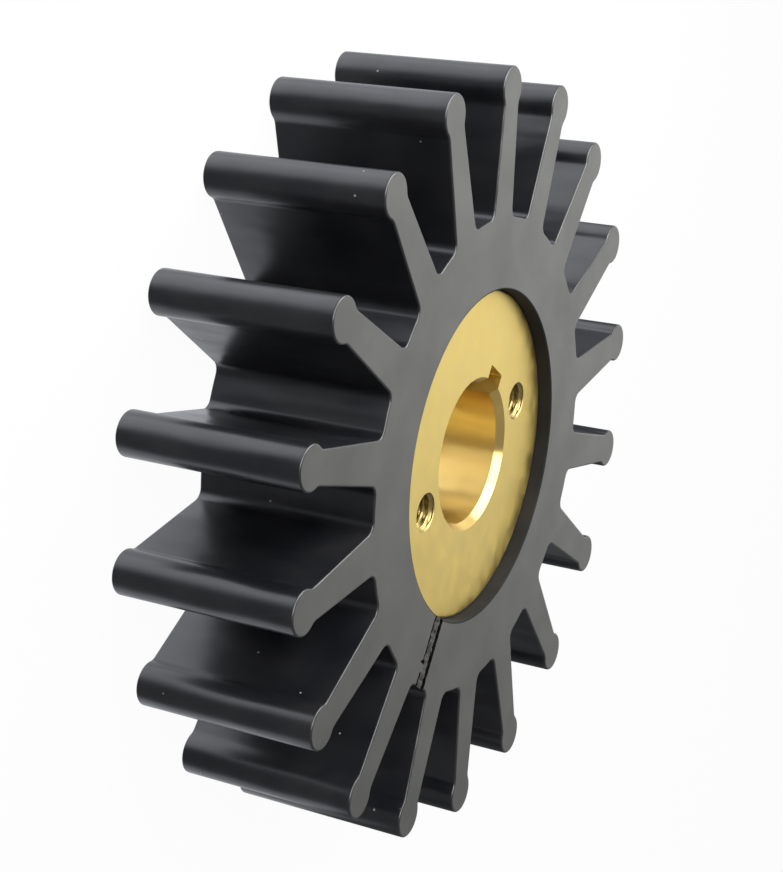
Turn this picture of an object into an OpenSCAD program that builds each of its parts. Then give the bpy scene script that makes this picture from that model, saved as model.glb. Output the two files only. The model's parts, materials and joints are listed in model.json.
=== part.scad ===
// Flexible impeller of an engine's sea-water pump: a rubber rotor moulded round a keyed brass hub.
// The shaft's axis is Z, and the origin is on it, half way between the rotor's two flat end faces.
// Blade 0 points along +X, the keyway is at +Y, and the gate mark is in the +Z face at -Y.

/* [Rotor] */
// Diameter over the blade tips
tip_d = 118; // [112:0.5:124]
// Width between the two flat end faces
rotor_w = 28.1; // [20:0.1:45]
// Diameter of the floor between the blades
floor_d = 73.6; // [70:0.2:76]
// Number of blades
blade_count = 18; // [8:1:20]

/* [Blades] */
// Diameter of the round bead along a blade's tip
bead_d = 6.5; // [6:0.1:7.6]
// Thickness of a blade where its side walls meet the bead
neck_t = 4.7; // [4:0.1:5.2]
// Thickness of a blade where it leaves the rotor's body
root_t = 6.6; // [6:0.1:7.4]
// Radius of the hollow between the bead and the blade's side
neck_fillet_r = 1.8; // [1:0.1:2.5]
// Radius of the corner between the blade's side and the floor
root_fillet_r = 1.6; // [0.8:0.1:2]

/* [Gate mark] */
// Width of the mark that the trimmed gate leaves across one end face, from the hub to the floor
mark_w = 3.2; // [2:0.1:4]
// Width of the cut along each side of the mark
cut_w = 0.8; // [0.4:0.1:0.9]
// Depth of the two cuts
cut_depth = 0.6; // [0.3:0.1:1]
// Depth of the strip that is left between them
strip_depth = 0.15; // [0.05:0.05:0.25]

/* [Hub] */
// Diameter of the brass hub, and of the pocket that its face lies in
hub_d = 51.5; // [46:0.5:56]
// Depth of each hub face below the rotor's end face
recess_depth = 2.2; // [0.5:0.1:4]
// Radius of the hub's rounded rims
rim_r = 1; // [0.4:0.1:2]
// Diameter of the bore for the shaft
bore_d = 22.2; // [19:0.1:25]
// Width of the chamfer at the bore's two mouths, across the hub's face
chamfer_w = 0.9; // [0.4:0.1:1.2]
// Depth of that chamfer, along the bore
chamfer_l = 1.2; // [0.4:0.1:1.6]
// Width of the keyway
key_w = 4.8; // [4:0.1:6]
// Distance from the shaft's axis to the keyway's floor
key_floor = 14; // [13.4:0.1:14.5]

/* [Puller holes] */
// Diameter of the circle that the two tapped holes lie on
puller_pcd = 33.3; // [32.5:0.1:36]
// Tapping diameter of the holes
puller_d = 5; // [4:0.1:5.5]
// Diameter of the countersink at each mouth
countersink_d = 6; // [5.8:0.1:6.5]
// Angle of the first hole, counted from +X
puller_angle = 50; // [30:1:60]

/* [Hidden] */
$fn = 96;

// Overlap that lets a cut run past the face it opens on, and a blade start inside the body
past = 1;
// Depth that a corner's filling is buried in the two faces it joins
bury = 0.5;
// Depth that a corner's arc dips below those faces, so that it crosses them cleanly
bite = 0.005;

tip_r = tip_d / 2;
floor_r = floor_d / 2;
bead_r = bead_d / 2;
hub_r = hub_d / 2;
bore_r = bore_d / 2;
puller_r = puller_d / 2;
countersink_r = countersink_d / 2;
hub_l = rotor_w - 2 * recess_depth;
// Length of the rotor's blank, before its two end faces are cut flat
blank_w = rotor_w + 2 * past;

// Centre of the bead, measured along the blade from the shaft's axis
bead_x = tip_r - bead_r;

// A blade's side is a straight line from [floor_r, root_t / 2] to [bead_x, neck_t / 2].
// The line leans towards the blade's middle by side_lean, and lies side_d from the shaft's axis.
side_lean = atan((root_t - neck_t) / 2 / (bead_x - floor_r));
side_normal = [sin(side_lean), cos(side_lean)];
side_along = [cos(side_lean), -sin(side_lean)];
side_d = [floor_r, root_t / 2] * side_normal;

// Centre of the arc of radius r that rolls in the corner between a blade's side and a circle of
// radius circle_r about [circle_x, 0]. towards is 1 on the circle's tip side, -1 on its hub side.
function corner_centre(circle_x, circle_r, r, towards) =
    let (
        across = side_d + r - bite - circle_x * side_normal.x,
        along = sqrt(pow(circle_r + r - bite, 2) - pow(across, 2))
    )
    [circle_x, 0] + across * side_normal + towards * along * side_along;

// Fills that corner up to the arc, on the +Y side of a blade along +X
module corner_fill(circle_x, circle_r, r, towards) {
    centre = corner_centre(circle_x, circle_r, r, towards);
    to_circle = [circle_x, 0] - centre;
    under_side = -(r + bury) * side_normal;
    under_circle = (r + bury) * to_circle / norm(to_circle);
    linear_extrude(blank_w) difference() {
        translate(centre) polygon([[0, 0], under_side, under_side + under_circle, under_circle]);
        translate(centre) circle(r = r);
    }
}

// One blade along +X, from within the rotor's body to its bead
module blade() {
    foot_x = hub_r + past;
    foot_t = root_t + 2 * (floor_r - foot_x) * tan(side_lean);
    linear_extrude(blank_w) polygon([
        [foot_x, -foot_t / 2],
        [bead_x, -neck_t / 2],
        [bead_x, neck_t / 2],
        [foot_x, foot_t / 2]
    ]);
    translate([bead_x, 0, 0]) cylinder(r = bead_r, h = blank_w);
    for (side = [0, 1]) {
        mirror([0, side, 0]) {
            corner_fill(0, floor_r, root_fillet_r, 1);
            corner_fill(bead_x, bead_r, neck_fillet_r, -1);
        }
    }
}

// The rotor's body with all its blades, standing on Z = 0 and left long at both ends
module blank() {
    cylinder(r = floor_r, h = blank_w);
    for (i = [0 : blade_count - 1]) {
        rotate(i * 360 / blade_count) blade();
    }
}

// Two V-shaped cuts along -Y in the +Z face, and the sunken strip between them
module gate_mark() {
    half_w = mark_w / 2;
    translate([0, past - hub_r, rotor_w / 2]) rotate([90, 0, 0])
        linear_extrude(floor_r - hub_r + 2 * past) polygon([
            [-half_w, past],
            [-half_w, 0],
            [-half_w + cut_w / 2, -cut_depth],
            [-half_w + cut_w, -strip_depth],
            [half_w - cut_w, -strip_depth],
            [half_w - cut_w / 2, -cut_depth],
            [half_w, 0],
            [half_w, past]
        ]);
}

module rubber_rotor() {
    color([0.17, 0.17, 0.18])
    difference() {
        intersection() {
            translate([0, 0, -blank_w / 2]) blank();
            cylinder(r = tip_r + past, h = rotor_w, center = true);
        }
        cylinder(r = hub_r, h = rotor_w + 2 * past, center = true);
        gate_mark();
    }
}

// Half section of the hub without its bore, in the plane of the shaft's axis
module hub_section() {
    rim_z = hub_l / 2 - rim_r;
    translate([0, -hub_l / 2]) square([hub_r - rim_r, hub_l]);
    translate([0, -rim_z]) square([hub_r, 2 * rim_z]);
    for (end = [-1, 1]) {
        translate([hub_r - rim_r, end * rim_z]) circle(r = rim_r, $fn = 32);
    }
}

// A through hole along Z of radius r, whose last mouth_l widens to mouth_r at both hub faces
module mouthed_hole(r, mouth_r, mouth_l) {
    past_r = mouth_r + past * (mouth_r - r) / mouth_l;
    cylinder(r = r, h = hub_l + 2 * past, center = true);
    for (end = [0, 1]) {
        mirror([0, 0, end]) {
            translate([0, 0, hub_l / 2 - mouth_l]) cylinder(r1 = r, r2 = past_r, h = mouth_l + past);
        }
    }
}

module keyway() {
    translate([-key_w / 2, 0, -hub_l / 2 - past]) cube([key_w, key_floor, hub_l + 2 * past]);
}

module brass_hub() {
    color([0.82, 0.68, 0.38])
    difference() {
        rotate_extrude() hub_section();
        mouthed_hole(bore_r, bore_r + chamfer_w, chamfer_l);
        keyway();
        for (half_turn = [0, 180]) {
            rotate(puller_angle + half_turn) translate([puller_pcd / 2, 0, 0])
                mouthed_hole(puller_r, countersink_r, countersink_r - puller_r);
        }
    }
}

rubber_rotor();
brass_hub();
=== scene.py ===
import json
import math

import bmesh
import bpy
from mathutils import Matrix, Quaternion, Vector, noise


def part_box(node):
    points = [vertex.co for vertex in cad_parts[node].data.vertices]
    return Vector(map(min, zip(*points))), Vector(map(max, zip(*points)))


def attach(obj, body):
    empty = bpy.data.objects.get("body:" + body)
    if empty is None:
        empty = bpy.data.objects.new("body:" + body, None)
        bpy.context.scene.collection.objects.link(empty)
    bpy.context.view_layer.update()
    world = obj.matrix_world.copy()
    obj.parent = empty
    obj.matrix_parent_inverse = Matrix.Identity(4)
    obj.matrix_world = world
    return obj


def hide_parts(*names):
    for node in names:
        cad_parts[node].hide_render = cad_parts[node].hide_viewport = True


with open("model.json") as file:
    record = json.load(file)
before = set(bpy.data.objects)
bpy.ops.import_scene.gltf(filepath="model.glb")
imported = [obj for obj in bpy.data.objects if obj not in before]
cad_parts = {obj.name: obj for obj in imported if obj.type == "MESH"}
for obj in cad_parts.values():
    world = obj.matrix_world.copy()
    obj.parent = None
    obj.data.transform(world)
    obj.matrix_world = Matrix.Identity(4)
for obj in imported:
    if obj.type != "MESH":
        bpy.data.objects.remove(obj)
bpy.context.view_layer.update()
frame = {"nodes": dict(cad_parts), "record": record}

mm = 0.001
rotorLow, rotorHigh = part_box("rubber_rotor")
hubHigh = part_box("brass_hub")[1]
mounts = {mount["name"]: mount for mount in frame["record"]["mounts"]}
print("frame loaded:", ", ".join(sorted(frame["nodes"])))


def direction(azimuth, elevation=0.0):
    level = math.cos(elevation)
    return Vector((level * math.cos(azimuth), level * math.sin(azimuth), math.sin(elevation)))


# Camera, at the photograph's viewing angle. The impeller lies flat here, so the view is rolled.
viewpoint = {
    "azimuth": -165.6,         # degrees from +X
    "elevation": 25.03,        # degrees above the end face
    "distance": 293.9 * mm,    # from the middle of the bore
    "aim": (-0.45 * mm, 0.43 * mm, -2.15 * mm),
    "roll": 100.35,
    "lens": 77.58,
    "clip": (0.01, 20),        # metres
}


def addCamera(v):
    data = bpy.data.cameras.new("photoCamera")
    data.lens = v["lens"]
    data.clip_start, data.clip_end = v["clip"]
    camera = bpy.data.objects.new("photoCamera", data)
    bpy.context.scene.collection.objects.link(camera)
    outward = direction(math.radians(v["azimuth"]), math.radians(v["elevation"]))
    camera.location = outward * v["distance"]
    level = (Vector(v["aim"]) - camera.location).to_track_quat("-Z", "Y")
    camera.rotation_mode = "QUATERNION"
    camera.rotation_quaternion = level @ Quaternion((0, 0, 1), math.radians(v["roll"]))
    bpy.context.scene.camera = camera


addCamera(viewpoint)
print("camera placed")


# Small helpers that several pieces use

def newObject(name, data):
    made = bpy.data.objects.new(name, data)
    bpy.context.scene.collection.objects.link(made)
    return made


def meshFromFaces(name, points, faces):
    mesh = bpy.data.meshes.new(name)
    mesh.from_pydata([tuple(p) for p in points], [], faces)
    mesh.update()
    return mesh


def bakeModifiers(piece):
    graph = bpy.context.evaluated_depsgraph_get()
    mesh = bpy.data.meshes.new_from_object(piece.evaluated_get(graph))
    mesh.name = piece.name
    piece.modifiers.clear()
    piece.data = mesh


def faceOutwards(mesh):
    work = bmesh.new()
    work.from_mesh(mesh)
    bmesh.ops.recalc_face_normals(work, faces=work.faces)
    work.to_mesh(mesh)
    work.free()


def subtract(piece, cutters):
    for cutter in cutters:
        cut = piece.modifiers.new("cut", "BOOLEAN")
        cut.operation = "DIFFERENCE"
        cut.solver = "EXACT"
        cut.material_mode = "TRANSFER"
        cut.object = cutter
    bakeModifiers(piece)
    for cutter in cutters:
        bpy.data.objects.remove(cutter)


def shadeByAngle(mesh, limit):
    mesh.polygons.foreach_set("use_smooth", [True] * len(mesh.polygons))
    mesh.set_sharp_from_angle(angle=limit)


# Adds nodes to a tree. A socket given as a value is linked, anything else is set.
def nodeAdder(tree):
    def add(kind, values=None, **settings):
        node = tree.nodes.new(kind)
        for name, value in settings.items():
            setattr(node, name, value)
        for socket, value in (values or {}).items():
            if isinstance(value, bpy.types.NodeSocket):
                tree.links.new(value, node.inputs[socket])
            else:
                node.inputs[socket].default_value = value
        return node
    return add


def calculator(add):
    def calculate(operation, *values):
        return add("ShaderNodeMath", dict(enumerate(values)), operation=operation).outputs[0]
    return calculate


def geometryTree(name, inputs):
    tree = bpy.data.node_groups.new(name, "GeometryNodeTree")
    for label, kind in inputs.items():
        tree.interface.new_socket(label, in_out="INPUT", socket_type="NodeSocket" + kind)
    tree.interface.new_socket("Result", in_out="OUTPUT", socket_type="NodeSocketGeometry")
    return tree


def runTree(piece, tree, values):
    modifier = piece.modifiers.new(tree.name, "NODES")
    modifier.node_group = tree
    sockets = {s.name: s.identifier for s in tree.interface.items_tree if s.in_out == "INPUT"}
    for name, value in values.items():
        modifier[sockets[name]] = value
    bakeModifiers(piece)


# The Mix node takes values at its inputs 2 and 3, and colours at 6 and 7
def mixedValue(add, share, first, second):
    return add("ShaderNodeMix", {0: share, 2: first, 3: second}, data_type="FLOAT").outputs[0]


def mixedColour(add, share, first, second):
    return add("ShaderNodeMix", {0: share, 6: first, 7: second}, data_type="RGBA").outputs[2]


def newMaterial(name):
    material = bpy.data.materials.new(name)
    material.use_nodes = True
    material.node_tree.nodes.clear()
    return material, nodeAdder(material.node_tree)


# Noise keeps near 0.5, so the middle of its range is stretched over the whole of the wanted one
def stretchedNoise(add, texture, middle, low=0.0, high=1.0):
    return add("ShaderNodeMapRange", {
        "Value": texture.outputs[0],
        "From Min": middle[0],
        "From Max": middle[1],
        "To Min": low,
        "To Max": high,
    }).outputs["Result"]


# Black rubber: near-black compound with a dull skin, soft waves from the mould, dust and a fine grain
moulded = {
    "dark": (0.0075, 0.0082, 0.011),
    "light": (0.0175, 0.0177, 0.0195),
    "dust": (0.34, 0.34, 0.32),
    "ior": 1.62,
    "roughness": (0.28, 0.34),
    "noiseMiddle": (0.35, 0.65),
    "cloudDetail": 5,
    "smearSize": 1.25,         # size of the duller patches, where 1 is a wave's size
    "waveSize": 8 * mm,
    "waveDepth": 0.75 * mm,
    "waveDetail": 1.5,
    "waveStretch": 0.4,        # waves run along the blades, so they are longer that way
    "grainSize": 0.22 * mm,
    "grainDepth": 0.005 * mm,
    "grainDetail": 3,
    "speckSpacing": 2.2 * mm,
    "speckRadius": 0.09,       # share of the spacing
    "speckVariety": 0.6,       # share of that radius that differs from speck to speck
    "speckRarity": 0.92,       # share of the places that stay without one
}
# The two end faces take a lighter and duller grey than the rest of the rubber
endFaceFinish = {
    **moulded,
    "dark": (0.062, 0.063, 0.0575),
    "light": (0.08, 0.08, 0.074),
    "ior": 1.46,
    "roughness": (0.38, 0.46),
    "waveDepth": 0.03 * mm,
    "grainDepth": 0.01 * mm,
    "speckRarity": 0.985,
}
# The pocket that the brass lies in has a matt wall
matt = {
    **moulded,
    "ior": 1.3,
    "roughness": (0.7, 0.85),
}
# The gate mark is a torn strip between two cuts, whose walls are painted near black: painted shade down
# in the cuts
torn = {
    **moulded,
    "dark": (0.012, 0.011, 0.01),
    "light": (0.11, 0.105, 0.1),
    "ior": 1.4,
    "roughness": (0.65, 0.9),
    "waveSize": 1.1 * mm,
    "grainDepth": 0.04 * mm,
    "speckSpacing": 1.2 * mm,
    "speckRadius": 0.2,
    "speckRarity": 0.8,
}
# Painted shade: near black and reflecting little, for the walls down in the narrow cuts
cutShade = {
    **torn,
    "dark": (0.002, 0.002, 0.002),
    "light": (0.006, 0.005, 0.005),
    "ior": 1.1,
    "speckRarity": 0.97,
}


def rubberMaterial(name, v):
    material, add = newMaterial(name)
    calculate = calculator(add)
    place = add("ShaderNodeTexCoord").outputs["Object"]

    def clouds(vector, size, detail):
        return add("ShaderNodeTexNoise", {"Vector": vector, "Scale": 1 / size, "Detail": detail})

    patches = stretchedNoise(add, clouds(place, v["waveSize"], v["cloudDetail"]), v["noiseMiddle"])
    compound = mixedColour(add, patches, (*v["dark"], 1), (*v["light"], 1))
    cells = add("ShaderNodeTexVoronoi", {"Vector": place, "Scale": 1 / v["speckSpacing"]}, feature="F1")
    chance = add("ShaderNodeSeparateColor", {0: cells.outputs["Color"]}).outputs
    size = calculate("ADD", 1 - v["speckVariety"], calculate("MULTIPLY", chance[1], v["speckVariety"]))
    reach = calculate("MULTIPLY", v["speckRadius"], size)
    speck = calculate("MULTIPLY",
                      calculate("LESS_THAN", cells.outputs["Distance"], reach),
                      calculate("GREATER_THAN", chance[0], v["speckRarity"]))
    dusty = mixedColour(add, speck, compound, (*v["dust"], 1))

    lengthened = add("ShaderNodeVectorMath", {0: place, 1: (1, 1, v["waveStretch"])},
                     operation="MULTIPLY").outputs[0]
    smear = clouds(lengthened, v["smearSize"] * v["waveSize"], v["cloudDetail"])
    roughness = stretchedNoise(add, smear, v["noiseMiddle"], *v["roughness"])

    wave = clouds(lengthened, v["waveSize"], v["waveDetail"])
    grain = clouds(place, v["grainSize"], v["grainDetail"])
    waves = add("ShaderNodeBump", {"Height": wave.outputs[0], "Distance": v["waveDepth"]})
    grains = add("ShaderNodeBump", {"Height": grain.outputs[0], "Distance": v["grainDepth"],
                                    "Normal": waves.outputs[0]})

    skin = add("ShaderNodeBsdfPrincipled", {"Base Color": dusty, "Normal": grains.outputs[0],
                                            "Roughness": roughness, "IOR": v["ior"]})
    add("ShaderNodeOutputMaterial", {"Surface": skin.outputs[0]})
    return material


blackRubber = rubberMaterial("blackRubber", moulded)
endFaceRubber = rubberMaterial("endFaceRubber", endFaceFinish)
mattRubber = rubberMaterial("mattRubber", matt)
tornRubber = rubberMaterial("tornRubber", torn)
cutShadeRubber = rubberMaterial("cutShadeRubber", cutShade)


# Brass: pale gold and turned on its faces
turned = {
    "bright": (0.74, 0.58, 0.185),
    "dull": (0.66, 0.5, 0.145),
    "cloudSize": 9 * mm,
    "cloudDetail": 4,
    "roughness": (0.36, 0.5),
    "noiseMiddle": (0.3, 0.7),
    "anisotropy": 0,
    "stretchTurn": 0.25,       # a quarter turn, from round the shaft's axis to along it
    "lineSpacing": 0.16 * mm,
    "lineDepth": 0.0012 * mm,
    "lineDetail": 2,
    "scuffSize": 2.5 * mm,
    "scuffDetail": 5,
}
# The bore and its chamfers are brighter, and their fine rings draw each reflection out along the axis
bored = {
    **turned,
    "bright": (0.78, 0.6, 0.23),
    "dull": (0.71, 0.53, 0.18),
    "roughness": (0.29, 0.32),
    "anisotropy": 1,
    "lineDepth": 0.0003 * mm,
    "scuffDetail": 1,
}
# The threads are a darker brass in small patches: painted shade down in the tapped holes
tapped = {
    **turned,
    "bright": (0.52, 0.41, 0.16),
    "dull": (0.2, 0.145, 0.055),
    "cloudSize": 0.8 * mm,
    "roughness": (0.3, 0.42),
}


def brassMaterial(name, v):
    material, add = newMaterial(name)
    calculate = calculator(add)
    place = add("ShaderNodeTexCoord").outputs["Object"]
    spot = add("ShaderNodeSeparateXYZ", {0: place}).outputs
    radius = calculate("SQRT", calculate("ADD",
                                         calculate("MULTIPLY", spot["X"], spot["X"]),
                                         calculate("MULTIPLY", spot["Y"], spot["Y"])))

    cloud = add("ShaderNodeTexNoise", {"Vector": place, "Scale": 1 / v["cloudSize"],
                                       "Detail": v["cloudDetail"]})
    tone = mixedColour(add, cloud.outputs[0], (*v["dull"], 1), (*v["bright"], 1))

    # Tool marks are rings on the faces, and rings one behind another in the bore
    across = calculate("ADD", radius, spot["Z"])
    marks = add("ShaderNodeTexNoise", {"W": across, "Scale": 1 / v["lineSpacing"],
                                       "Detail": v["lineDetail"]}, noise_dimensions="1D")
    toolMarks = add("ShaderNodeBump", {"Height": marks.outputs[0], "Distance": v["lineDepth"]})

    scuffs = add("ShaderNodeTexNoise", {"Vector": place, "Scale": 1 / v["scuffSize"],
                                        "Detail": v["scuffDetail"]})
    around = add("ShaderNodeTangent", direction_type="RADIAL", axis="Z")
    metal = add("ShaderNodeBsdfPrincipled", {
        "Base Color": tone,
        "Metallic": 1.0,
        "Roughness": stretchedNoise(add, scuffs, v["noiseMiddle"], *v["roughness"]),
        "Normal": toolMarks.outputs[0],
        "Anisotropic": v["anisotropy"],
        "Anisotropic Rotation": v["stretchTurn"],
        "Tangent": around.outputs[0],
    })
    add("ShaderNodeOutputMaterial", {"Surface": metal.outputs[0]})
    return material


turnedBrass = brassMaterial("turnedBrass", turned)
boredBrass = brassMaterial("boredBrass", bored)
shadedTappedBrass = brassMaterial("shadedTappedBrass", tapped)
print("materials made")


# Rubber rotor: one blade with its share of the body, which a node tree repeats round the shaft
rotor = {
    "bladeCount": 18,
    "tipRadius": rotorHigh.x,
    "halfWidth": rotorHigh.z,
    "holeRadius": hubHigh.x,
    "beadRadius": 3.25 * mm,
    "neckThickness": 4.7 * mm,
    "rootThickness": 6.6 * mm,
    "floorRadius": 36.8 * mm,
    "neckFillet": 1.8 * mm,
    "rootFillet": 1.6 * mm,
    "edgeRadius": 0.28 * mm,   # soft edge that the mould gives both end faces
    "edgeSteps": 4,
    "faceMargin": 0.06 * mm,   # flat strip inside that edge, so the face shades flat
    "arcStep": math.radians(9),
    "floorStep": math.radians(1.5),
    "sideStep": 1.6 * mm,
    "wallRows": 8,
    "holeSteps": 12,           # points round the hole, for each blade
    "weldDistance": 0.002 * mm,
    "creaseAngle": math.radians(35),
    "endFaceLevel": 0.999,     # least upright part of the normal on an end face
    "largeFace": mm ** 2,      # area from which a face on an end shades flat
}


def flatDirection(angle):
    return direction(angle).to_2d()


# Points along an arc, each with the way out of the material there
def arc(centre, radius, start, end, step, hollow=False):
    turn = (end - start + math.pi) % (2 * math.pi) - math.pi
    count = max(2, math.ceil(abs(turn) / step - 1e-6))
    ways = [flatDirection(start + turn * i / count) for i in range(count + 1)]
    return [(centre + way * radius, -way if hollow else way) for way in ways]


def straight(start, end, outward, step):
    count = max(1, math.ceil((end - start).length / step))
    return [(start.lerp(end, i / count), outward) for i in range(count + 1)]


def angleOf(way):
    return math.atan2(way.y, way.x)


# Outline on the +Y side of a blade along +X, from its tip to the middle of the floor beside it
def halfBlade(v):
    middle = Vector((0, 0))
    bead = Vector((v["tipRadius"] - v["beadRadius"], 0))
    lean = math.atan((v["rootThickness"] - v["neckThickness"]) / 2 / (bead.x - v["floorRadius"]))
    across = Vector((math.sin(lean), math.cos(lean)))
    along = Vector((math.cos(lean), -math.sin(lean)))
    sideDistance = Vector((v["floorRadius"], v["rootThickness"] / 2)).dot(across)

    def cornerCentre(circle, circleRadius, radius, towards):
        offset = sideDistance + radius - circle.dot(across)
        reach = math.sqrt((circleRadius + radius) ** 2 - offset ** 2)
        return circle + across * offset + along * towards * reach

    neck = cornerCentre(bead, v["beadRadius"], v["neckFillet"], -1)
    root = cornerCentre(middle, v["floorRadius"], v["rootFillet"], 1)
    step = v["arcStep"]
    runs = [
        arc(bead, v["beadRadius"], 0, angleOf(neck - bead), step),
        arc(neck, v["neckFillet"], angleOf(bead - neck), angleOf(-across), step, hollow=True),
        straight(neck - across * v["neckFillet"], root - across * v["rootFillet"], across, v["sideStep"]),
        arc(root, v["rootFillet"], angleOf(-across), angleOf(-root), step, hollow=True),
        arc(middle, v["floorRadius"], angleOf(root), math.pi / v["bladeCount"], v["floorStep"]),
    ]
    outline = runs[0]
    for run in runs[1:]:
        outline = outline + run[1:]
    return outline


# Inset and height of each row of points, from one end face over both soft edges to the other
def edgeRows(v):
    edge, top = v["edgeRadius"], v["halfWidth"]
    angles = [math.pi / 2 * i / v["edgeSteps"] for i in range(v["edgeSteps"] + 1)]
    upper = [(edge + v["faceMargin"], top)]
    upper += [(edge - edge * math.sin(a), top - edge + edge * math.cos(a)) for a in angles]
    reach = top - edge
    wall = [(0, reach - 2 * reach * i / v["wallRows"]) for i in range(1, v["wallRows"])]
    return upper + wall + [(inset, -height) for inset, height in reversed(upper)]


def bladeSector(v):
    half = halfBlade(v)
    other = [(Vector((p.x, -p.y)), Vector((n.x, -n.y))) for p, n in reversed(half[1:])]
    share = math.pi / v["bladeCount"]
    hole = arc(Vector((0, 0)), v["holeRadius"], -share, share, 2 * share / v["holeSteps"], hollow=True)
    rows = edgeRows(v)
    points, faces, ends = [], [], []
    for outline in (other + half, hole):
        first, count = len(points), len(outline)
        for inset, height in rows:
            points += [(*(p - n * inset), height) for p, n in outline]
        for row in range(len(rows) - 1):
            start = first + row * count
            faces += [(start + i, start + i + 1, start + i + 1 + count, start + i + count)
                      for i in range(count - 1)]
        last = first + (len(rows) - 1) * count
        ends.append((list(range(first, first + count)), list(range(last, last + count))))
    for side in (0, 1):
        faces.append(ends[0][side] + ends[1][side][::-1])
    return meshFromFaces("blade", points, faces)


def bladeRing():
    tree = geometryTree("bladeRing", {"Blade": "Geometry", "Blade Count": "Int", "Weld Distance": "Float",
                                      "Rubber": "Material"})
    add = nodeAdder(tree)
    calculate = calculator(add)
    given = add("NodeGroupInput").outputs
    share = calculate("DIVIDE", 2 * math.pi, given["Blade Count"])
    angle = calculate("MULTIPLY", add("GeometryNodeInputIndex").outputs[0], share)
    turn = add("FunctionNodeEulerToRotation", {0: add("ShaderNodeCombineXYZ", {"Z": angle}).outputs[0]})
    spots = add("GeometryNodePoints", {"Count": given["Blade Count"]})
    ring = add("GeometryNodeInstanceOnPoints", {"Points": spots.outputs[0], "Instance": given["Blade"],
                                                "Rotation": turn.outputs[0]})
    real = add("GeometryNodeRealizeInstances", {"Geometry": ring.outputs[0]})
    whole = add("GeometryNodeMergeByDistance", {"Geometry": real.outputs[0],
                                                "Distance": given["Weld Distance"]})
    painted = add("GeometryNodeSetMaterial", {"Geometry": whole.outputs[0], "Material": given["Rubber"]})
    add("NodeGroupOutput", {"Result": painted.outputs[0]})
    return tree


# Gate mark across the near end face: two torn cuts with a strip between them. The cut on the -X side
# has a nick and then a gap.
gateMark = {
    "width": 3.2 * mm,
    "cutWidth": 0.8 * mm,
    "cutDepth": 0.6 * mm,
    "stripDepth": 0.15 * mm,
    "shallow": 0.03 * mm,      # what is left of the cut in its gap
    "stripColumns": 4,
    "step": 0.12 * mm,
    "raggedness": 0.14 * mm,
    "grain": 1500,             # tears per metre
    "gap": (33.3 * mm, 34.6 * mm),    # distances from the shaft's axis
    "nick": 33.1 * mm,         # distance from the shaft's axis
    "nickLength": 0.3 * mm,
    "nickReach": 0.7 * mm,
    "overrun": 1 * mm,
}


def gateCutter(v, stripMaterial, cutShadeMaterial):
    half, cut, strip = v["width"] / 2, v["cutWidth"], -v["stripDepth"]
    inner = half - cut
    middle = [(-inner + 2 * inner * i / v["stripColumns"], strip) for i in range(v["stripColumns"] + 1)]
    section = [(-half, v["overrun"]), (-half, 0), (-half + cut / 2, -v["cutDepth"]), *middle,
               (half - cut / 2, -v["cutDepth"]), (half, 0), (half, v["overrun"])]
    start = v["overrun"] - rotor["holeRadius"]
    end = -rotor["floorRadius"] - v["overrun"]
    stations = math.ceil((start - end) / v["step"])
    points, faces = [], []
    for station in range(stations + 1):
        y = start + (end - start) * station / stations
        inGap = v["gap"][0] < -y < v["gap"][1]
        reach = v["nickReach"] * math.exp(-((-y - v["nick"]) / v["nickLength"]) ** 2)
        for column, (x, z) in enumerate(section):
            if inGap and column in (1, 2):      # the first cut's rim and its bottom
                x, z = -inner, -v["shallow"]
            if column == 1:
                x -= reach
            point = Vector((x, y, rotor["halfWidth"] + z))
            tear = noise.noise_vector(point * v["grain"]) * v["raggedness"]
            if z <= 0:
                point += Vector((tear.x, 0, -abs(tear.z) if inGap else tear.z))
            points.append(point)
    count = len(section)
    for station in range(stations):
        a, b = station * count, (station + 1) * count
        faces += [(a + i, a + (i + 1) % count, b + (i + 1) % count, b + i) for i in range(count)]
    faces.append(tuple(range(count)))
    faces.append(tuple(range(stations * count, (stations + 1) * count)))
    mesh = meshFromFaces("gateCutter", points, faces)
    mesh.materials.append(stripMaterial)
    mesh.materials.append(cutShadeMaterial)
    for polygon in mesh.polygons[:stations * count]:
        if polygon.index % count in (1, 2, count - 4, count - 3):    # the walls of both cuts, which take the painted shade
            polygon.material_index = 1
    faceOutwards(mesh)
    return newObject("gateCutter", mesh)


rubberRotor = newObject("rubberRotor", bladeSector(rotor))
rubberRotor.data.materials.append(blackRubber)
runTree(rubberRotor, bladeRing(), {
    "Blade Count": rotor["bladeCount"],
    "Weld Distance": rotor["weldDistance"],
    "Rubber": blackRubber,
})
faceOutwards(rubberRotor.data)
for material in (endFaceRubber, mattRubber):
    rubberRotor.data.materials.append(material)
slots = {material.name: index for index, material in enumerate(rubberRotor.data.materials)}
for polygon in rubberRotor.data.polygons:
    if abs(polygon.normal.z) > rotor["endFaceLevel"]:
        polygon.material_index = slots["endFaceRubber"]
    elif polygon.center.to_2d().length < rotor["holeRadius"] + rotor["edgeRadius"]:
        polygon.material_index = slots["mattRubber"]
subtract(rubberRotor, [gateCutter(gateMark, tornRubber, cutShadeRubber)])
shadeByAngle(rubberRotor.data, rotor["creaseAngle"])
# A sliver at the gate mark's edge would otherwise tint the whole face beside it
for polygon in rubberRotor.data.polygons:
    if abs(polygon.normal.z) > rotor["endFaceLevel"] and polygon.area > rotor["largeFace"]:
        polygon.use_smooth = False
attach(rubberRotor, "root")
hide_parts("rubber_rotor")
print("rubber rotor made:", len(rubberRotor.data.polygons), "faces")


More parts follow.
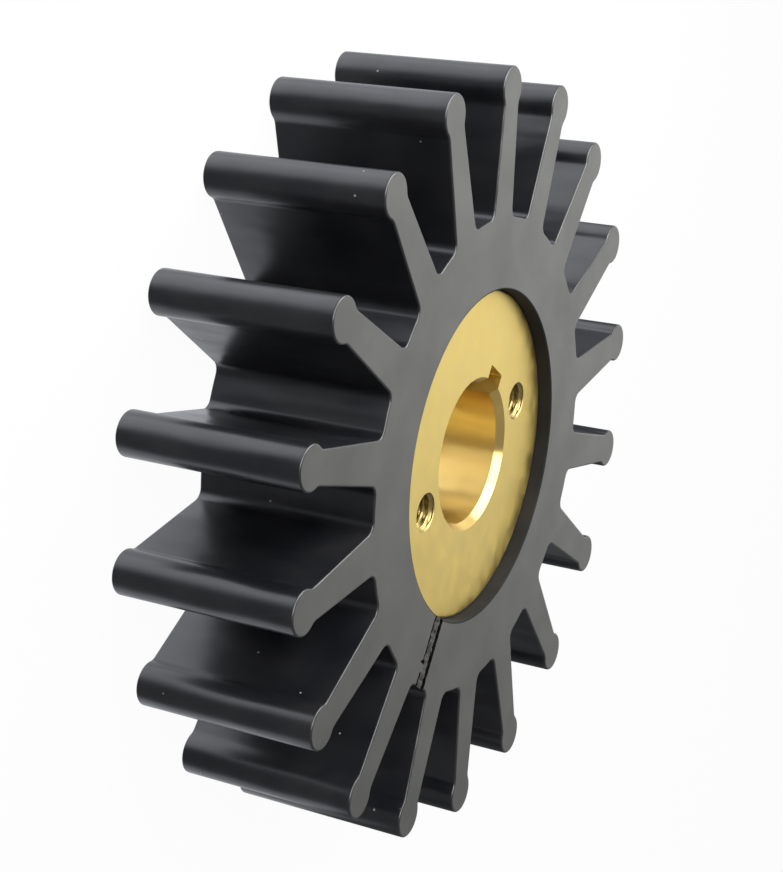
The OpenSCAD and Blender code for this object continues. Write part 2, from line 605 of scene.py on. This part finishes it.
# Brass hub: a turned sleeve with a keyway and two tapped holes for a puller
hub = {
    "radius": hubHigh.x,
    "halfLength": hubHigh.z,
    "rimRadius": 0.5 * mm,
    "rimSteps": 8,
    "faceMargin": 0.15 * mm,   # flat strip inside the rim, so the face shades flat
    "boreRadius": mounts["shaft_bore"]["dims"]["r_mm"] * mm,
    "chamferWidth": 0.9 * mm,
    "chamferDepth": 1.2 * mm,
    "segments": 216,
    "wallRows": 6,
    "keyWidth": 4.8 * mm,
    "keyFloor": mounts["keyway"]["pos_m"][1],
    "keyCorner": 0.2 * mm,
    "keyCornerStep": math.radians(22.5),
    "overrun": 1 * mm,
    "creaseAngle": math.radians(30),
    "paintMargin": 0.01 * mm,  # reach of the bore's finish past the chamfer's edge
}
pullerHoles = {
    "Hole Count": mounts["puller_holes"]["dims"]["count"],
    "Circle Radius": mounts["puller_holes"]["dims"]["pcd_mm"] / 2 * mm,
    "First Angle": math.radians(50),
    "Core Radius": mounts["puller_holes"]["dims"]["hole_r_mm"] * mm,
    "Thread Depth": 0.5 * mm,
    "Pitch": 1 * mm,
    "Bottom Share": 0.12,      # share of the pitch that the groove's bottom takes, and then its mouth
    "Mouth Share": 0.8,
    "Mouth Radius": 3 * mm,
    "Half Length": hubHigh.z,
    "Overrun": 1 * mm,
    "Sides": 40,
    "Rows": 210,
}


def hubSection(v):
    radius, half, rim, bore = v["radius"], v["halfLength"], v["rimRadius"], v["boreRadius"]
    boreEnd = half - v["chamferDepth"]
    rows = v["wallRows"]
    boreWall = [(bore, boreEnd * (2 * i / rows - 1)) for i in range(rows + 1)]
    centre = Vector((radius - rim, half - rim))
    corner = arc(centre, rim, math.pi / 2, 0, math.pi / 2 / v["rimSteps"])
    upper = [(bore + v["chamferWidth"], half), (radius - rim - v["faceMargin"], half)]
    upper += [tuple(p) for p, n in corner]
    return boreWall + upper + [(r, -z) for r, z in reversed(upper)]


def revolve(name, section, segments):
    points, faces = [], []
    for r, z in section:
        points += [(*(flatDirection(2 * math.pi * i / segments) * r), z) for i in range(segments)]
    for row in range(len(section)):
        a, b = row * segments, (row + 1) % len(section) * segments
        faces += [(a + i, a + (i + 1) % segments, b + (i + 1) % segments, b + i) for i in range(segments)]
    mesh = meshFromFaces(name, points, faces)
    faceOutwards(mesh)
    return mesh


def keywayCutter(v, material):
    half, floor, corner = v["keyWidth"] / 2, v["keyFloor"], v["keyCorner"]
    step = v["keyCornerStep"]
    right = arc(Vector((half - corner, floor - corner)), corner, 0, math.pi / 2, step)
    left = arc(Vector((corner - half, floor - corner)), corner, math.pi / 2, math.pi, step)
    outline = [Vector((-half, 0)), Vector((half, 0)), *(p for p, n in right + left)]
    top = v["halfLength"] + v["overrun"]
    count = len(outline)
    points = [(*p, z) for z in (-top, top) for p in outline]
    faces = [(i, (i + 1) % count, (i + 1) % count + count, i + count) for i in range(count)]
    faces += [tuple(range(count)), tuple(range(count, 2 * count))]
    mesh = meshFromFaces("keywayCutter", points, faces)
    mesh.materials.append(material)
    faceOutwards(mesh)
    return newObject("keywayCutter", mesh)


# Plugs of the tapped holes' own shape: a helical thread that opens into a countersink at both ends
def threadedPlugs(v):
    kinds = {name: "Int" if isinstance(value, int) else "Float" for name, value in v.items()}
    tree = geometryTree("threadedPlugs", {"Start": "Geometry", **kinds, "Brass": "Material"})
    add = nodeAdder(tree)
    calculate = calculator(add)
    given = add("NodeGroupInput").outputs
    length = calculate("MULTIPLY", calculate("ADD", given["Half Length"], given["Overrun"]), 2)
    plug = add("GeometryNodeMeshCylinder", {"Vertices": given["Sides"], "Side Segments": given["Rows"],
                                            "Radius": 1.0, "Depth": length})
    spot = add("ShaderNodeSeparateXYZ", {0: add("GeometryNodeInputPosition").outputs[0]}).outputs

    # Place across the thread's groove, which is 0 in its middle and 1 half way to the next turn
    turns = calculate("DIVIDE", calculate("ARCTAN2", spot["Y"], spot["X"]), 2 * math.pi)
    climbed = calculate("SUBTRACT", calculate("DIVIDE", spot["Z"], given["Pitch"]), turns)
    phase = calculate("MULTIPLY", calculate("FRACT", climbed), 2)
    fromMiddle = calculate("ABSOLUTE", calculate("SUBTRACT", phase, 1))
    profile = add("ShaderNodeMapRange", {
        "Value": fromMiddle,
        "From Min": given["Bottom Share"],
        "From Max": given["Mouth Share"],
        "To Min": 1.0,
        "To Max": 0.0,
    }).outputs["Result"]
    thread = calculate("ADD", given["Core Radius"], calculate("MULTIPLY", profile, given["Thread Depth"]))
    depth = calculate("SUBTRACT", given["Half Length"], calculate("ABSOLUTE", spot["Z"]))
    radius = calculate("MAXIMUM", thread, calculate("SUBTRACT", given["Mouth Radius"], depth))

    moved = add("ShaderNodeCombineXYZ", {"X": calculate("MULTIPLY", spot["X"], radius),
                                         "Y": calculate("MULTIPLY", spot["Y"], radius), "Z": spot["Z"]})
    shaped = add("GeometryNodeSetPosition", {"Geometry": plug.outputs["Mesh"],
                                             "Position": moved.outputs[0]})
    share = calculate("DIVIDE", 2 * math.pi, given["Hole Count"])
    angle = calculate("ADD", given["First Angle"],
                      calculate("MULTIPLY", add("GeometryNodeInputIndex").outputs[0], share))
    centre = add("ShaderNodeCombineXYZ", {
        "X": calculate("MULTIPLY", calculate("COSINE", angle), given["Circle Radius"]),
        "Y": calculate("MULTIPLY", calculate("SINE", angle), given["Circle Radius"]),
    })
    spots = add("GeometryNodePoints", {"Count": given["Hole Count"], "Position": centre.outputs[0]})
    plugs = add("GeometryNodeInstanceOnPoints", {"Points": spots.outputs[0],
                                                 "Instance": shaped.outputs[0]})
    real = add("GeometryNodeRealizeInstances", {"Geometry": plugs.outputs[0]})
    painted = add("GeometryNodeSetMaterial", {"Geometry": real.outputs[0],
                                              "Material": given["Brass"]})
    add("NodeGroupOutput", {"Result": painted.outputs[0]})
    return tree


brassHub = newObject("brassHub", revolve("brassHub", hubSection(hub), hub["segments"]))
brassHub.data.materials.append(turnedBrass)
brassHub.data.materials.append(boredBrass)
chamferMouth = hub["boreRadius"] + hub["chamferWidth"] + hub["paintMargin"]
for polygon in brassHub.data.polygons:
    if polygon.center.to_2d().length < chamferMouth:
        polygon.material_index = 1    # boredBrass
threadCutter = newObject("threadCutter", bpy.data.meshes.new("threadCutter"))
# The threads take the brass with the painted shade
runTree(threadCutter, threadedPlugs(pullerHoles), {**pullerHoles, "Brass": shadedTappedBrass})
subtract(brassHub, [keywayCutter(hub, turnedBrass), threadCutter])
shadeByAngle(brassHub.data, hub["creaseAngle"])
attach(brassHub, "root")
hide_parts("brass_hub")
print("brass hub made:", len(brassHub.data.polygons), "faces")


# Plain white stage: a floor under the rotor, light from all round, and a few large soft lamps
stage = {
    "floorSize": 12,           # metres
    "floorColour": (0.85, 0.85, 0.85),
    "floorWhite": 0.96,        # share of plain white that the camera sees over the floor's own shading
    "fill": 0.1,               # light from all round, where 1 is white
    "shadedSide": -8,          # degrees from +X, where reflections see a painted shadow of the rotor on the floor
    "shadeFrom": 30 * mm,
    "shadeTo": 48 * mm,
    "shadeDepth": 0.85,
    "horizon": 0.08,           # height over which the two halves of the studio meet, where 1 is overhead
    "windowSill": (0.5, 0.62),     # heights between which the window sets in
    "cool": (0.94, 0.97, 1.04),    # tint of what reflections see below the horizon
}
# What reflections see. Each band is brightest towards its azimuth, and its level follows the cosine of
# the turn from there.
studio = {
    "below": {"azimuth": 48, "cosines": (-0.76, -0.56), "levels": (0.24, 1.05)},
    "wall": {"azimuth": 128, "cosines": (0.7, 0.93), "levels": (1.0, 1.95)},
    "above": {"azimuth": 48, "cosines": (0.7, 0.94), "levels": (0.36, 1.36)},
    "windowEdge": {"azimuth": 115, "cosines": (-0.02, 0.02), "levels": (0, 1)},
    "windowFade": {"azimuth": 205, "cosines": (0.1, 0.85), "levels": (0, 5)},
}
# Distances and sizes are in metres. An upright lamp looks level at the shaft's axis, and any other
# looks at the middle of the rotor.
lamps = {
    "windowPanel": {
        "azimuth": 165, "elevation": 46, "distance": 0.73,
        "width": 0.84, "height": 0.46, "level": 3.3, "upright": True,
    },
    "nearPanel": {
        "azimuth": 107, "elevation": 44, "distance": 0.2,
        "width": 0.2, "height": 0.134, "level": 6.4, "upright": False,
    },
}


def cameraAndMirrored(add):
    rays = add("ShaderNodeLightPath").outputs
    mirrored = calculator(add)("MAXIMUM", rays["Is Glossy Ray"], rays["Is Transmission Ray"])
    return rays["Is Camera Ray"], mirrored


# Moves a value from one level to another, softly, between start and end
def fade(add, value, start, end, low, high):
    return add("ShaderNodeMapRange", {"Value": value, "From Min": start, "From Max": end, "To Min": low,
                                      "To Max": high}, interpolation_type="SMOOTHSTEP").outputs["Result"]


# How far a direction or a place lies towards an azimuth
def towards(add, azimuth, value):
    return add("ShaderNodeVectorMath", {0: value, 1: direction(math.radians(azimuth))},
               operation="DOT_PRODUCT").outputs["Value"]


# The floor is white to the camera but for a soft shadow. Reflections look through it to the studio's
# bands, except on one side near the rotor, where they see a painted shadow of the rotor.
def addFloor(v):
    half = v["floorSize"] / 2
    corners = [(-half, -half), (half, -half), (half, half), (-half, half)]
    points = [(x, y, rotorLow.z) for x, y in corners]
    floor = newObject("floor", meshFromFaces("floor", points, [(0, 1, 2, 3)]))
    material, add = newMaterial("paleFloor")
    camera, mirrored = cameraAndMirrored(add)
    plain = add("ShaderNodeBsdfDiffuse", {"Color": (*v["floorColour"], 1)})
    side = towards(add, v["shadedSide"], add("ShaderNodeTexCoord").outputs["Object"])
    # Painted shadow: a dark patch on one side of the rotor that only reflections see
    shade = fade(add, side, v["shadeFrom"], v["shadeTo"], 0.0, v["shadeDepth"])
    white = add("ShaderNodeEmission", {"Strength": 1.0})
    share = calculator(add)("MULTIPLY", camera, v["floorWhite"])
    seen = add("ShaderNodeMixShader", {0: share, 1: plain.outputs[0], 2: white.outputs[0]})
    clear = add("ShaderNodeBsdfTransparent")
    dark = add("ShaderNodeEmission", {"Strength": 0.0})
    reflected = add("ShaderNodeMixShader", {0: shade, 1: clear.outputs[0], 2: dark.outputs[0]})
    both = add("ShaderNodeMixShader", {0: mirrored, 1: seen.outputs[0], 2: reflected.outputs[0]})
    add("ShaderNodeOutputMaterial", {"Surface": both.outputs[0]})
    floor.data.materials.append(material)


# White to the camera, an even fill for matt surfaces, and the studio's bands for reflections
def addWorld(v, bands):
    world = bpy.data.worlds.new("studio")
    world.use_nodes = True
    world.node_tree.nodes.clear()
    add = nodeAdder(world.node_tree)
    calculate = calculator(add)
    camera, mirrored = cameraAndMirrored(add)
    way = add("ShaderNodeSeparateXYZ", {0: add("ShaderNodeTexCoord").outputs["Generated"]}).outputs
    flat = add("ShaderNodeCombineXYZ", {"X": way["X"], "Y": way["Y"]})
    level = add("ShaderNodeVectorMath", {0: flat.outputs[0]}, operation="NORMALIZE").outputs[0]
    light = {}
    for name, band in bands.items():
        light[name] = fade(add, towards(add, band["azimuth"], level), *band["cosines"], *band["levels"])
    upward = fade(add, way["Z"], -v["horizon"], v["horizon"], 0.0, 1.0)
    window = calculate("MULTIPLY", calculate("MULTIPLY", light["windowEdge"], light["windowFade"]),
                       fade(add, way["Z"], *v["windowSill"], 0.0, 1.0))
    below = calculate("MULTIPLY", light["below"], light["wall"])
    above = calculate("ADD", light["above"], window)
    reflected = mixedValue(add, upward, below, above)
    strength = calculate("MAXIMUM", camera, mixedValue(add, mirrored, v["fill"], reflected))
    cooled = calculate("MULTIPLY", mirrored, calculate("SUBTRACT", 1.0, upward))
    tint = mixedColour(add, cooled, (1, 1, 1, 1), (*v["cool"], 1))
    background = add("ShaderNodeBackground", {"Color": tint, "Strength": strength})
    add("ShaderNodeOutputWorld", {"Surface": background.outputs[0]})
    bpy.context.scene.world = world


def addLamp(name, v):
    data = bpy.data.lights.new(name, "AREA")
    data.shape = "RECTANGLE"
    data.size, data.size_y = v["width"], v["height"]
    data.energy = v["level"] * math.pi * v["width"] * v["height"]
    lamp = newObject(name, data)
    outward = direction(math.radians(v["azimuth"]), math.radians(v["elevation"]))
    lamp.location = outward * v["distance"]
    lamp.rotation_mode = "QUATERNION"
    facing = direction(math.radians(v["azimuth"])) if v["upright"] else outward
    lamp.rotation_quaternion = (-facing).to_track_quat("-Z", "Y")


addFloor(stage)
addWorld(stage, studio)
for name, values in lamps.items():
    addLamp(name, values)
bpy.context.scene.view_settings.view_transform = "Standard"
print("stage and lamps placed")
